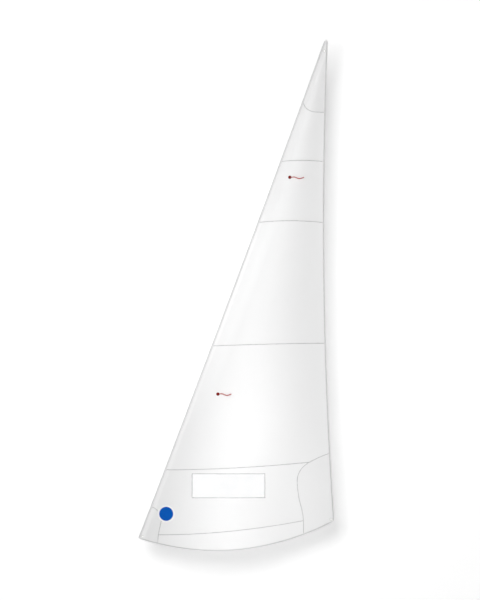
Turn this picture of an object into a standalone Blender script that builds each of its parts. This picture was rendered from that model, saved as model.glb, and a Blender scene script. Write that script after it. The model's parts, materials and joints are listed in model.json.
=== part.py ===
# Jib sail of a two-person dinghy, seen from port with its luff on the left.
# Metres. X runs aft, Z up the sail, Y to starboard. The origin is the middle of the tack eyelet.
# Each piece of cloth is cut flat, laid in its own layer, and then the whole stack is moulded to one camber.

import math

import bmesh
import bpy
from mathutils import Matrix, Vector

# Sail plan, from corner to corner
LUFF_LENGTH = 3.988
LUFF_RAKE = math.radians(20.5)
LUFF_HOLLOW = 0.009
FOOT_LENGTH = 1.478
FOOT_LIFT = math.radians(5.05)
FOOT_ROUND = 0.151
LEECH_HOLLOW = 0.049
HEAD_WIDTH = 0.027
HEAD_ROUND = 0.011

# Seams from the head down: height at the luff, height at the leech and upward bow, above the tack corner
HEAD_SEAM = (2.827, 2.827, 0.009)
UPPER_SEAM = (2.370, 2.369, 0.014)
MIDDLE_SEAM = (1.444, 1.465, 0.004)
LOWER_SEAM = (0.5145, 0.589, -0.0155)
FOOT_SEAM = (0.029, 0.181, -0.043)
SEAM_LAP = 0.012

# Camber: greatest depth as a share of the width, and where it lies, at the foot and at the head
DEPTH_FOOT = 0.085
DEPTH_HEAD = 0.10
DRAFT_FOOT = 0.43
DRAFT_HEAD = 0.29
FLAT_LUFF = 0.045
CLEW_FADE = 0.80

# The faceted sail is creased along half cells. This many columns of them lie between the luff and the clew's own
CELLS_ACROSS = 16
CELL_ALONG = 0.150

# Cloth
CLOTH = 0.0003
GAP = 0.0003

# Corner patches: points that the edge of each passes through, from its corner
HEAD_PATCH = ((-0.197, -0.452), (-0.1715, -0.501), (-0.1505, -0.522), (-0.1195, -0.5355), (-0.0875, -0.540))
HEAD_PATCH_LEECH = 0.542
TACK_PATCH = ((0.131, 0.2255), (0.150, 0.2065), (0.177, 0.150), (0.164, 0.071), (0.156, 0.032), (0.1525, -0.0105))
TACK_PATCH_LUFF = 0.2455
CLEW_PATCH = ((-0.101, 0.4885), (-0.187, 0.4455), (-0.2465, 0.399), (-0.2785, 0.3335), (-0.2795, 0.257),
              (-0.2655, 0.159), (-0.2465, 0.084), (-0.235, 0.006), (-0.235, -0.106))
CLEW_PATCH_LEECH = 0.5135

# Window film
WINDOW_LENGTH = 0.538
WINDOW_HEIGHT = 0.1725
WINDOW_AFT = 0.6785
WINDOW_BELOW_SEAM = 0.03125
WINDOW_UP = LOWER_SEAM[0] - WINDOW_BELOW_SEAM - WINDOW_HEIGHT / 2
WINDOW_LAP = 0.012

# Folded edge tapes and the line in the luff
LUFF_TAPE = 0.015
LUFF_SHOULDER = 0.007
EDGE_TAPE = 0.012
LUFF_LINE = 0.004
LINE_END = 0.040
TAPE_END = 0.0013

# Corner eyelets, each of two pressed halves
EYELET_BORE = 0.010
EYELET_FLANGE = 0.022
EYELET_METAL = 0.0008
EYELET_ROLL = 0.0018
EYELET_MARGIN = 0.001
FLANGE_IN = EYELET_FLANGE / 2 + EYELET_MARGIN

# Telltales: a round dot, and a yarn that trails aft of it in a wave
DOT = 0.025
UPPER_DOT = (1.138, 2.709)
LOWER_DOT = (0.599, 1.084)
YARN = 0.005
YARN_LENGTH = 0.092
YARN_WAVE = 0.0057
YARN_CREST = 0.13
YARN_BLUNT = 0.4
PORT_LIFT = math.radians(2)
STARBOARD_LIFT = math.radians(14)
PIVOT_AFT = DOT / 2 + GAP + YARN / 2

# Plain round sticker
STICKER = 0.129
STICKER_PLACE = (0.2115, 0.186)

# Fineness
EDGE_STEPS = {"luff": 8, "leech": 14, "foot": 18, "head": 6, "seam": 10, "patch": 3}
ROUND_STEPS = 24
NOSE_STEPS = 4
YARN_STEPS = 16

# Curves reach this far past their ends before they are trimmed, and keep no point this near a cut, in segments
REACH = 0.08
NEAR_CUT = 0.02

# Creases: faces that turn less than the angle are joined, and the probe finds where the moulded sail turns
FLAT_ANGLE = 0.002
SNAP = 0.0001
PROBE = 0.0005
LEAST_TURN = 0.0002

# Layers of cloth from port to starboard, and how far in from each edge of the sail the cloth ends
WHITE = (0.88, 0.88, 0.88, 1)
PITCH = CLOTH + GAP
PORT_TAPE, PORT_PATCH, PORT_PANEL, STARBOARD_PANEL, STARBOARD_PATCH = range(-2, 3)
CUTTER_DEPTH = 20 * PITCH
TAPE_HALF = 2.5 * PITCH + CLOTH / 2
NOSE_HALF = LUFF_LINE / 2 + GAP + CLOTH
CLOTH_IN = TAPE_HALF
LUFF_IN = NOSE_HALF + LUFF_LINE / 2 + GAP


def layer_middle(layer):
    return (layer - 0.5) * PITCH


# Curves of the plan are lists of points, with the sail on their left
def bowed(start, end, bow, steps, reach):
    """A parabola from start to end that bows to the right of its way, and goes on past both ends by reach."""
    along = end - start
    aside = Vector((along.y, -along.x)).normalized()
    extra = reach / along.length
    shares = [-extra] + [k / steps for k in range(steps + 1)] + [1 + extra]
    return [start + along * t + aside * 4 * bow * t * (1 - t) for t in shares]


def inset(curve, distance):
    """The curve moved to its left by a distance, with mitred corners."""
    moved = []
    for k, point in enumerate(curve):
        before = point - curve[k - 1] if k else curve[1] - point
        after = curve[k + 1] - point if k + 1 < len(curve) else before
        mitre = before.normalized() + after.normalized()
        aside = Vector((-mitre.y, mitre.x)).normalized()
        turn = aside.dot(Vector((-before.y, before.x)).normalized())
        moved.append(point + aside * distance / turn)
    return moved


def crossing(first, second):
    """How far along each of two curves they cross, in segments, and the point."""
    for i in range(len(first) - 1):
        for j in range(len(second) - 1):
            a, b = first[i + 1] - first[i], second[j + 1] - second[j]
            apart = second[j] - first[i]
            area = a.cross(b)
            if abs(area) < 1e-12:
                continue
            u, v = apart.cross(b) / area, apart.cross(a) / area
            if 0 <= u <= 1 and 0 <= v <= 1:
                return i + u, j + v, first[i] + a * u
    raise ValueError("two edges of a piece don't meet")


def between(curve, start, end):
    return [point for i, point in enumerate(curve) if start + NEAR_CUT < i < end - NEAR_CUT]


def ring(*curves):
    """The outline that curves make when each is kept between its crossings with the last one and the next one."""
    meets = [crossing(curves[k - 1], curve) for k, curve in enumerate(curves)]
    outline = []
    for k, curve in enumerate(curves):
        start, end = meets[k][1], meets[(k + 1) % len(curves)][0]
        outline.append(meets[k][2])
        outline += between(curve, start, end)
    return outline


def smooth(points, steps):
    """A Catmull-Rom curve through the points, with straight ends."""
    ends = [2 * points[0] - points[1], *points, 2 * points[-1] - points[-2]]
    curve = []
    for a, b, c, d in zip(ends, ends[1:], ends[2:], ends[3:]):
        for t in (k / steps for k in range(steps)):
            curve.append(
                (2 * b + (c - a) * t + (2 * a - 5 * b + 4 * c - d) * t**2 + (3 * b - a - 3 * c + d) * t**3) / 2
            )
    return curve + [points[-1]]


def at_height(curve, height):
    for a, b in zip(curve, curve[1:]):
        if min(a.y, b.y) <= height <= max(a.y, b.y):
            return a.lerp(b, (height - a.y) / (b.y - a.y))
    raise ValueError("no such height on this edge")


def circle(middle, diameter, steps):
    turns = [2 * math.pi * k / steps for k in range(steps)]
    return [middle + Vector((math.cos(t), math.sin(t))) * diameter / 2 for t in turns]


TACK = Vector((0, 0))
CLEW = Vector((math.cos(FOOT_LIFT), math.sin(FOOT_LIFT))) * FOOT_LENGTH
LUFF_WAY = Vector((math.sin(LUFF_RAKE), math.cos(LUFF_RAKE)))
LUFF_SIDE = Vector((LUFF_WAY.y, -LUFF_WAY.x))
HEAD_LUFF = LUFF_WAY * LUFF_LENGTH
HEAD_LEECH = HEAD_LUFF + Vector((HEAD_WIDTH, 0))

foot = bowed(TACK, CLEW, FOOT_ROUND, EDGE_STEPS["foot"], REACH)
leech = bowed(CLEW, HEAD_LEECH, -LEECH_HOLLOW, EDGE_STEPS["leech"], REACH)
head = bowed(HEAD_LEECH, HEAD_LUFF, HEAD_ROUND, EDGE_STEPS["head"], HEAD_WIDTH / 4)
luff = bowed(HEAD_LUFF, TACK, -LUFF_HOLLOW, EDGE_STEPS["luff"], REACH)


def seam(places, shift=0.0):
    """A seam from luff to leech, moved up by shift."""
    up = Vector((0, shift))
    start, end = at_height(luff, places[0]), at_height(leech, places[1])
    return [point + up for point in bowed(start, end, -places[2], EDGE_STEPS["seam"], REACH)]


def tack_edge():
    """Goes from the foot up to the luff."""
    start = at_height(luff, TACK_PATCH_LUFF)
    inner = [Vector(point) for point in TACK_PATCH]
    down = inner[-1] - Vector((0, REACH))
    return smooth([start - LUFF_SIDE * REACH / 4, start, *inner, down], EDGE_STEPS["patch"])[::-1]


def clew_edge():
    """Goes from the leech down to the foot."""
    start = at_height(leech, CLEW.y + CLEW_PATCH_LEECH)
    inner = [CLEW + Vector(point) for point in CLEW_PATCH]
    down = inner[-1] - Vector((0, REACH))
    return smooth([start + (start - inner[0]) / 2, start, *inner, down], EDGE_STEPS["patch"])


def head_edge():
    """Goes from the luff across to the leech."""
    end = at_height(leech, HEAD_LEECH.y - HEAD_PATCH_LEECH)
    inner = [HEAD_LEECH + Vector(point) for point in HEAD_PATCH]
    return smooth([2 * inner[0] - inner[1], *inner, end, end + Vector((REACH / 2, 0))], EDGE_STEPS["patch"])


def corner(first, second, first_in, second_in):
    return crossing(inset(first, first_in), inset(second, second_in))[2]


tack_eye = corner(luff, foot, LUFF_TAPE + FLANGE_IN, EDGE_TAPE + FLANGE_IN)
clew_eye = corner(foot, leech, EDGE_TAPE + FLANGE_IN, EDGE_TAPE + FLANGE_IN)
head_eye = corner(leech, luff, EDGE_TAPE + FLANGE_IN, LUFF_TAPE + FLANGE_IN)
ORIGIN = Vector((tack_eye.x, 0, tack_eye.y))

# The clew eyelet is in the middle of a cell, whose corners stay flat
CELL_ACROSS = (clew_eye.dot(LUFF_SIDE) - FLAT_LUFF) / (CELLS_ACROSS + 0.5)
FIRST_NODE = LUFF_SIDE * FLAT_LUFF + LUFF_WAY * (clew_eye.dot(LUFF_WAY) - CELL_ALONG / 2)
CLEW_FLAT = math.hypot(CELL_ACROSS, CELL_ALONG) / 2 + GAP


def leech_aft(height):
    """How far aft the leech lies at a height. It goes on upright past the head and the clew."""
    share = min(max((height - CLEW.y) / (HEAD_LEECH.y - CLEW.y), 0), 1)
    return CLEW.lerp(HEAD_LEECH, share).x - 4 * LEECH_HOLLOW * share * (1 - share)


def camber(place):
    """How far the moulded sail lies to port of the flat one. It is nothing at luff, leech and clew, and deepest
    at the draft."""
    from_luff = max(place.dot(LUFF_SIDE) - FLAT_LUFF, 0)
    from_leech = max(leech_aft(place.y) - place.x, 0)
    width = from_luff + from_leech
    if width < 1e-6:
        return 0.0
    up = min(max(place.y / HEAD_LUFF.y, 0), 1)
    depth = DEPTH_FOOT + (DEPTH_HEAD - DEPTH_FOOT) * up
    draft = DRAFT_FOOT + (DRAFT_HEAD - DRAFT_FOOT) * up
    power = (1 - draft) / draft
    share = from_luff / width
    bulge = share * (1 - share) ** power / (draft * (1 - draft) ** power)
    fade = min(max(((place - clew_eye).length - CLEW_FLAT) / CLEW_FADE, 0), 1)
    return -depth * width * bulge * fade**2 * (3 - 2 * fade)


def in_cells(place):
    """A place counted in cells, inboard from the luff and up along it."""
    offset = place - FIRST_NODE
    return offset.dot(LUFF_SIDE) / CELL_ACROSS, offset.dot(LUFF_WAY) / CELL_ALONG


def moulded(place):
    """Camber of the faceted sail: straight between the corners of half cells that line up with the luff."""
    across, along = in_cells(place)
    i, j = math.floor(across), math.floor(along)
    u, v = across - i, along - j

    def node(a, b):
        return camber(FIRST_NODE + LUFF_SIDE * (i + a) * CELL_ACROSS + LUFF_WAY * (j + b) * CELL_ALONG)

    if u + v <= 1:
        return node(0, 0) * (1 - u - v) + node(1, 0) * u + node(0, 1) * v
    return node(1, 1) * (u + v - 1) + node(0, 1) * (1 - u) + node(1, 0) * (1 - v)


def bends(edge, across):
    """Whether the moulded sail turns at an edge of a half cell."""
    middle = (edge.verts[0].co + edge.verts[1].co) / 2
    place = Vector((middle.x, middle.z))
    step = across * PROBE
    turn = moulded(place + step) + moulded(place - step) - 2 * moulded(place)
    return abs(turn) > LEAST_TURN * PROBE


def crease(solid):
    """Cuts a flat solid along the edges of the half cells, so that each face lies in one of them."""
    across, along = zip(*(in_cells(Vector((v.co.x, v.co.z))) for v in solid.verts))
    both = [a + b for a, b in zip(across, along)]
    side, way = LUFF_SIDE / CELL_ACROSS, LUFF_WAY / CELL_ALONG
    for values, normal in ((across, side), (along, way), (both, side + way)):
        for k in range(math.ceil(min(values)), math.floor(max(values)) + 1):
            point = FIRST_NODE + normal * k / normal.length_squared
            cut = bmesh.ops.bisect_plane(
                solid,
                geom=solid.verts[:] + solid.edges[:] + solid.faces[:],
                plane_co=(point.x, 0, point.y),
                plane_no=(normal.x, 0, normal.y),
                dist=SNAP,
            )
            for item in cut["geom_cut"]:
                if isinstance(item, bmesh.types.BMEdge):
                    item.seam = bends(item, normal.normalized())


def mould(mesh):
    """Gives a flat mesh the camber of the sail, and moves it from the tack corner to the tack eyelet."""
    solid = bmesh.new()
    solid.from_mesh(mesh)
    places = [Vector((v.co.x, v.co.z)) for v in solid.verts]
    if max(p.dot(LUFF_SIDE) for p in places) > FLAT_LUFF:
        crease(solid)
        bmesh.ops.dissolve_limit(
            solid, angle_limit=FLAT_ANGLE, verts=solid.verts, edges=solid.edges, delimit={"SEAM"}
        )
        for v in solid.verts:
            v.co.y += moulded(Vector((v.co.x, v.co.z)))
    for v in solid.verts:
        v.co -= ORIGIN
    for edge in solid.edges:
        edge.seam = False
    solid.to_mesh(mesh)
    solid.free()


for old in list(bpy.data.objects):
    bpy.data.objects.remove(old)

sail = bpy.data.collections.new("jib_sail")
cutters = bpy.data.collections.new("cutters")
bpy.context.scene.collection.children.link(sail)
bpy.context.scene.collection.children.link(cutters)


def finish(name, colour, roughness, metallic=0.0):
    material = bpy.data.materials.new(name)
    material.use_nodes = True
    shader = material.node_tree.nodes["Principled BSDF"]
    shader.inputs["Base Color"].default_value = colour
    shader.inputs["Roughness"].default_value = roughness
    shader.inputs["Metallic"].default_value = metallic
    return material


def add_piece(name, mesh, material):
    piece = bpy.data.objects.new(name, mesh)
    mesh.materials.clear()
    mesh.materials.append(material)
    sail.objects.link(piece)
    return piece


def mesh_of(obj):
    """The mesh that an object's curve or modifiers make, in world space, with its caps welded. The object goes."""
    bpy.context.view_layer.update()
    graph = bpy.context.evaluated_depsgraph_get()
    mesh = bpy.data.meshes.new_from_object(obj.evaluated_get(graph))
    mesh.transform(obj.matrix_world)
    solid = bmesh.new()
    solid.from_mesh(mesh)
    bmesh.ops.remove_doubles(solid, verts=solid.verts, dist=1e-6)
    solid.to_mesh(mesh)
    solid.free()
    bpy.data.objects.remove(obj)
    return mesh


def flat_cloth(name, outline, layer):
    """A flat piece of cloth in its layer, from its outline."""
    shape = bpy.data.curves.new(name, "CURVE")
    shape.dimensions = "2D"
    shape.fill_mode = "BOTH"
    shape.extrude = CLOTH / 2
    spline = shape.splines.new("POLY")
    spline.points.add(len(outline) - 1)
    spline.use_cyclic_u = True
    for point, place in zip(spline.points, outline):
        point.co = (place.x, place.y, 0, 1)
    flat = bpy.data.objects.new(name + "_outline", shape)
    flat.rotation_euler = (math.pi / 2, 0, 0)
    flat.location = (0, layer_middle(layer), 0)
    sail.objects.link(flat)
    return mesh_of(flat)


def as_cutter(name):
    """Puts the object that was just added among the cutters."""
    made = bpy.context.object
    for owner in made.users_collection:
        owner.objects.unlink(made)
    cutters.objects.link(made)
    made.name = name
    made.hide_render = True
    made.display_type = "WIRE"
    return made


def round_cutter(name, middle, diameter):
    bpy.ops.mesh.primitive_cylinder_add(
        vertices=ROUND_STEPS,
        radius=diameter / 2,
        depth=CUTTER_DEPTH,
        location=(middle.x, 0, middle.y),
        rotation=(math.pi / 2, 0, 0),
    )
    return as_cutter(name)


def cut_by(mesh, tools):
    """The mesh with each cutter taken out of it."""
    body = bpy.data.objects.new("body", mesh)
    sail.objects.link(body)
    for tool in tools:
        modifier = body.modifiers.new(tool.name, "BOOLEAN")
        modifier.operation = "DIFFERENCE"
        modifier.object = tool
        modifier.solver = "EXACT"
    return mesh_of(body)


def add_cloth(name, outline, layer, material, tools=()):
    mesh = flat_cloth(name, outline, layer)
    if tools:
        mesh = cut_by(mesh, tools)
    mould(mesh)
    return add_piece(name, mesh, material)


cloth = finish("sailcloth", WHITE, 0.55)
patch_cloth = finish("patch_cloth", WHITE, 0.5)
tape_cloth = finish("tape_cloth", WHITE, 0.6)

# Cutters: the corner holes and the window
eyes = {"tack": tack_eye, "clew": clew_eye, "head": head_eye}
barrel_hole = EYELET_BORE + 2 * EYELET_METAL + 2 * GAP
corner_holes = tuple(round_cutter(place + "_hole", eye, barrel_hole) for place, eye in eyes.items())
bpy.ops.mesh.primitive_cube_add(size=1, location=(WINDOW_AFT, 0, WINDOW_UP))
window_hole = as_cutter("window_hole")
window_hole.scale = (WINDOW_LENGTH, CUTTER_DEPTH, WINDOW_HEIGHT)

# Panels, from the head down. Neighbours lie in two layers, so that each seam laps
panel_luff, panel_leech, panel_foot = inset(luff, LUFF_IN), inset(leech, CLOTH_IN), inset(foot, CLOTH_IN)
panel_head = inset(head, CLOTH_IN)
seams = (HEAD_SEAM, UPPER_SEAM, MIDDLE_SEAM, LOWER_SEAM, FOOT_SEAM)
names = ("head", "upper", "upper_middle", "lower_middle", "window", "foot")
for k, name in enumerate(names):
    top = seam(seams[k - 1], SEAM_LAP / 2)[::-1] if k else panel_head
    bottom = seam(seams[k], -SEAM_LAP / 2) if k < len(seams) else panel_foot
    tools = corner_holes + ((window_hole,) if name == "window" else ())
    layer = PORT_PANEL if k % 2 == 0 else STARBOARD_PANEL
    add_cloth(name + "_panel", ring(bottom, panel_leech, top, panel_luff), layer, cloth, tools)

# Window film, behind its opening
half_length, half_height = WINDOW_LENGTH / 2 + WINDOW_LAP, WINDOW_HEIGHT / 2 + WINDOW_LAP
film_corners = [
    Vector((WINDOW_AFT + x * half_length, WINDOW_UP + z * half_height))
    for x, z in ((-1, -1), (1, -1), (1, 1), (-1, 1))
]
add_cloth("window_film", film_corners, STARBOARD_PANEL, finish("window_film", (0.95, 0.97, 0.98, 1), 0.08))

# Corner patches, one on each side
patches = {
    "head": ring(panel_leech, panel_head, panel_luff, head_edge()),
    "tack": ring(panel_foot, tack_edge(), panel_luff),
    "clew": ring(panel_foot, panel_leech, clew_edge()),
}
for place, outline in patches.items():
    add_cloth(place + "_patch_port", outline, PORT_PATCH, patch_cloth, corner_holes)
    add_cloth(place + "_patch_starboard", outline, STARBOARD_PATCH, patch_cloth, corner_holes)


# Folded tapes
def tape_section(width, nose, shoulder=None):
    """A tape folded over an edge, as (inboard, y) points: round the outside from starboard to port, back inside.
    Where its nose is wider than its legs, these close in up to the shoulder."""

    def side(half, radius):
        arc = [math.pi / 2 + math.pi * k / NOSE_STEPS for k in range(NOSE_STEPS + 1)]
        bend = [(nose + radius * math.cos(t), radius * math.sin(t)) for t in arc]
        legs = [width, shoulder] if shoulder else [width]
        return [(x, half) for x in legs] + bend + [(x, -half) for x in legs[::-1]]

    return side(TAPE_HALF, nose) + side(TAPE_HALF - CLOTH, nose - CLOTH)[::-1]


def span(curve, start, end):
    """The part of a curve between two places, counted in segments."""

    def at(place):
        k = min(int(place), len(curve) - 2)
        return curve[k].lerp(curve[k + 1], place - k)

    return [at(start), *between(curve, start, end), at(end)]


def clear_of(curve, width, other, other_width):
    """Where the two sides of a tape on a curve reach the tape on another edge, in segments."""
    line = inset(other, other_width + GAP)
    return [crossing(inset(curve, side), line)[0] for side in (0, width)]


def add_tape(name, path, section):
    """A section carried along a path of the plan, with mitred corners."""
    sides = [inset(path, inboard) for inboard, _ in section]
    solid = bmesh.new()
    rings = [
        [solid.verts.new((side[k].x, y, side[k].y)) for side, (_, y) in zip(sides, section)]
        for k in range(len(path))
    ]
    for near, far in zip(rings, rings[1:]):
        for k in range(len(section)):
            solid.faces.new((near[k - 1], near[k], far[k], far[k - 1]))
    solid.faces.new(rings[0])
    solid.faces.new(rings[-1][::-1])
    bmesh.ops.recalc_face_normals(solid, faces=solid.faces)
    mesh = bpy.data.meshes.new(name)
    solid.to_mesh(mesh)
    solid.free()
    mould(mesh)
    mesh.shade_smooth()
    mesh.set_sharp_from_angle(angle=math.radians(40))
    return add_piece(name, mesh, tape_cloth)


def between_corners(curve, edge, distance):
    """An edge of the sail without its reach, less a distance at each end."""
    part = distance * EDGE_STEPS[edge] / (curve[-2] - curve[1]).length
    return 1 + part, len(curve) - 2 - part


edge_section = tape_section(EDGE_TAPE, TAPE_HALF)
luff_section = tape_section(LUFF_TAPE, NOSE_HALF, LUFF_SHOULDER)
add_tape("luff_tape", span(luff, *between_corners(luff, "luff", TAPE_END)), luff_section)
leech_start = between_corners(leech, "leech", TAPE_END)[0]
leech_end = min(clear_of(leech, EDGE_TAPE, luff, LUFF_TAPE))
add_tape("leech_tape", span(leech, leech_start, leech_end), edge_section)
foot_start = max(clear_of(foot, EDGE_TAPE, luff, LUFF_TAPE))
foot_end = min(clear_of(foot, EDGE_TAPE, leech, EDGE_TAPE))
add_tape("foot_tape", span(foot, foot_start, foot_end), edge_section)


def add_tube(name, points, diameter, material, radii=None):
    """A round cord through points of its own frame."""
    shape = bpy.data.curves.new(name, "CURVE")
    shape.dimensions = "3D"
    shape.bevel_depth = diameter / 2
    shape.bevel_resolution = 2
    shape.use_fill_caps = True
    spline = shape.splines.new("POLY")
    spline.points.add(len(points) - 1)
    for k, (point, place) in enumerate(zip(spline.points, points)):
        point.co = (*place, 1)
        point.radius = radii[k] if radii else 1
    shape.materials.append(material)
    tube = bpy.data.objects.new(name, shape)
    sail.objects.link(tube)
    return tube


# Luff line, in the nose of its tape
line_way = span(inset(luff, NOSE_HALF), *between_corners(luff, "luff", LINE_END))
line_points = [Vector((p.x, 0, p.y)) - ORIGIN for p in line_way]
add_tube("luff_line", line_points, LUFF_LINE, finish("luff_line", (0.75, 0.76, 0.78, 1), 0.7))


# Corner eyelets: a stud whose barrel goes through the cloth and is rolled over a washer
def add_turned(name, middle, profile, to_port, material):
    """A closed profile of (radius, height), turned about the hole's axis. Height grows away from the cloth."""
    mesh = bpy.data.meshes.new(name)
    loop = [(k, (k + 1) % len(profile)) for k in range(len(profile))]
    mesh.from_pydata([(r, 0, h) for r, h in profile], loop, [])
    turned = add_piece(name, mesh, material)
    turned.location = (middle.x - ORIGIN.x, 0, middle.y - ORIGIN.z)
    turned.rotation_euler = (math.pi / 2 if to_port else -math.pi / 2, 0, 0)
    screw = turned.modifiers.new("Screw", "SCREW")
    screw.steps = screw.render_steps = ROUND_STEPS
    screw.use_merge_vertices = True
    screw.merge_threshold = 1e-5
    screw.use_smooth_shade = True
    return turned


metal = finish("eyelet_metal", (0.72, 0.72, 0.70, 1), 0.25, 1.0)
bore, barrel, rim = EYELET_BORE / 2, EYELET_BORE / 2 + EYELET_METAL, EYELET_FLANGE / 2
inner = 1.5 * PITCH + CLOTH / 2 + GAP
outer = inner + EYELET_METAL
half_metal = EYELET_METAL / 2
under = -(outer + GAP)
stud = [
    (bore + half_metal, outer),
    (rim - half_metal, outer),
    (rim, outer - half_metal),
    (rim, inner),
    (barrel, inner),
    (barrel, under),
    (barrel + EYELET_ROLL, under),
    (barrel + EYELET_ROLL, under - half_metal),
    (barrel + EYELET_ROLL - half_metal, under - EYELET_METAL),
    (barrel, under - EYELET_METAL),
    (bore, under),
    (bore, outer - half_metal),
]
washer = [
    (barrel + GAP, outer),
    (rim - half_metal, outer),
    (rim, outer - half_metal),
    (rim, inner),
    (barrel + GAP, inner),
]
for place, eye in eyes.items():
    add_turned(place + "_eyelet", eye, stud, True, metal)
    add_turned(place + "_eyelet_washer", eye, washer, False, metal)

# Telltales. A dot lies on each side of the panel, and its yarn is pinned beside it
red, green = (0.45, 0.03, 0.02, 1), (0.02, 0.25, 0.08, 1)


def slope(place, way):
    return (moulded(place + way * PROBE) - moulded(place - way * PROBE)) / (2 * PROBE)


def yarn_frame(place, side):
    """The yarn's pivot, with X aft along the cloth and Z, its hinge, square to the cloth and to starboard."""
    aft = Vector((1, slope(place, Vector((1, 0))), 0)).normalized()
    hinge = Vector((-aft.y / aft.x, 1, -slope(place, Vector((0, 1))))).normalized()
    surface = layer_middle(STARBOARD_PANEL) + side * CLOTH / 2
    middle = Vector((place.x, moulded(place) + surface, place.y)) + hinge * side * (GAP + YARN / 2)
    frame = Matrix((aft, hinge.cross(aft), hinge)).transposed().to_4x4()
    frame.translation = middle - ORIGIN
    return frame


def yarn_points(side, lift):
    """One wave that crests a little way along the yarn, while it lifts off the cloth. It begins with a blunt end."""
    points = [Vector((-YARN / 2, 0, 0))]
    for k in range(YARN_STEPS + 1):
        share = k / YARN_STEPS
        turn = 2 * math.pi * (share - YARN_CREST)
        wave = YARN_WAVE * (math.cos(turn) - math.cos(2 * math.pi * YARN_CREST))
        along = YARN_LENGTH * share
        points.append(Vector((along * math.cos(lift), -wave, side * along * math.sin(lift))))
    return points, [YARN_BLUNT] + [1] * (YARN_STEPS + 1)


telltales = (("upper", UPPER_DOT), ("lower", LOWER_DOT))
sides = (("port", -1, PORT_PANEL, PORT_LIFT, red), ("starboard", 1, STARBOARD_PATCH, STARBOARD_LIFT, green))
for side_name, side, layer, lift, colour in sides:
    dot_finish = finish("dot_" + side_name, colour, 0.5)
    yarn_finish = finish("yarn_" + side_name, colour, 0.9)
    for height_name, dot in telltales:
        name = height_name + "_telltale"
        middle = Vector(dot)
        add_cloth(f"{name}_dot_{side_name}", circle(middle, DOT, ROUND_STEPS), layer, dot_finish)
        points, radii = yarn_points(side, lift)
        yarn = add_tube(f"{name}_yarn_{side_name}", points, YARN, yarn_finish, radii)
        yarn.matrix_world = yarn_frame(middle + Vector((PIVOT_AFT, 0)), side)

# Plain round sticker, over the edge of the tack patch
add_cloth(
    "round_sticker",
    circle(Vector(STICKER_PLACE), STICKER, ROUND_STEPS),
    PORT_TAPE,
    finish("round_sticker", (0.02, 0.13, 0.45, 1), 0.4),
)
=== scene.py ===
import json
import math

import bpy
import numpy as np
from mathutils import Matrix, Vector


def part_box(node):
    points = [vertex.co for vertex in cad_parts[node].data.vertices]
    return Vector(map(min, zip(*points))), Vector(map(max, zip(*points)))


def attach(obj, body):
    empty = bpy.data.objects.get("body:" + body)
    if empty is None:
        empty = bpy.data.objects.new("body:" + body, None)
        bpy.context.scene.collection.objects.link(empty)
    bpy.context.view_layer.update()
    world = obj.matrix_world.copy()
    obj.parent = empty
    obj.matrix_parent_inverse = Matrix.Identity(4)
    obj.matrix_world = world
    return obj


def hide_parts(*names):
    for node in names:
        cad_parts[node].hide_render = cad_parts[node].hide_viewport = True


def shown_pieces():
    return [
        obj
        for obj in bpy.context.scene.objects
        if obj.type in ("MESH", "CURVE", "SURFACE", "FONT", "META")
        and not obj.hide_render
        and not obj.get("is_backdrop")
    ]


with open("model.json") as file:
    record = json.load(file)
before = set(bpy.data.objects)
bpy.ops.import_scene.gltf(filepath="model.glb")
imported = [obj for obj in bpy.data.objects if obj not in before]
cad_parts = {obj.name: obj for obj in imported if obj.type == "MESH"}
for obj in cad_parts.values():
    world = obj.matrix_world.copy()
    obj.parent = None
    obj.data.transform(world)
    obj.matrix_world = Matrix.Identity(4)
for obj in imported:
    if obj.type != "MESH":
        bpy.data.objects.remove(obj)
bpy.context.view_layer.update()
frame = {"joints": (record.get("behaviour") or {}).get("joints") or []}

sail = {
    "origin": (0.034656, 0.015001),
    "luffLength": 3.988, "luffRake": 20.5, "luffHollow": 0.009,
    "footLength": 1.478, "footLift": 5.05, "footRound": 0.151,
    "leechHollow": 0.049, "headWidth": 0.027, "headRound": 0.011,
    "depthFoot": 0.085, "depthHead": 0.10, "draftFoot": 0.43, "draftHead": 0.29,
    "flatLuff": 0.045, "luffSoft": 0.016,
    "clewEye": (1.447287, 0.144574), "clewFlat": 0.08446, "clewFade": 0.80,
}
# the cloth ends a little inside the sail's outline; cells are small from fineFrom to fineTo beside the luff
cloth = {
    "thickness": 0.0003, "pitch": 0.0006, "edgeIn": 0.00165, "luffIn": 0.0049,
    "cell": 0.020, "fineCell": 0.0045, "fineFrom": 0.020, "fineTo": 0.058,
    "leastRows": 8, "narrow": 0.1, "footColumns": 72, "footRows": 14,
}
outwards = {"port": -1, "starboard": 1}

rake, lift = math.radians(sail["luffRake"]), math.radians(sail["footLift"])
tack = np.array([0.0, 0.0])
clew = np.array([math.cos(lift), math.sin(lift)]) * sail["footLength"]
luffWay = np.array([math.sin(rake), math.cos(rake)])
luffSide = np.array([luffWay[1], -luffWay[0]])
headLuff = luffWay * sail["luffLength"]
headLeech = headLuff + np.array([sail["headWidth"], 0.0])


def eased(share):
    # climbs from 0 to 1 with level ends
    return share**2 * (3 - 2 * share)


def pack(*parts):
    # arrays of one shape, side by side along a new last axis
    return np.stack(parts, axis=-1)


def unit(way):
    return way / np.linalg.norm(way, axis=-1, keepdims=True)


def turnsOf(steps):
    # even angles all the way round
    return np.linspace(0, 2 * np.pi, steps, endpoint=False)


def leechAft(up):
    # straight from clew to head, less a parabola of the leech's hollow, and upright past both ends
    share = np.clip((up - clew[1]) / (headLeech[1] - clew[1]), 0, 1)
    return clew[0] + (headLeech[0] - clew[0]) * share - 4 * sail["leechHollow"] * share * (1 - share)


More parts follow.
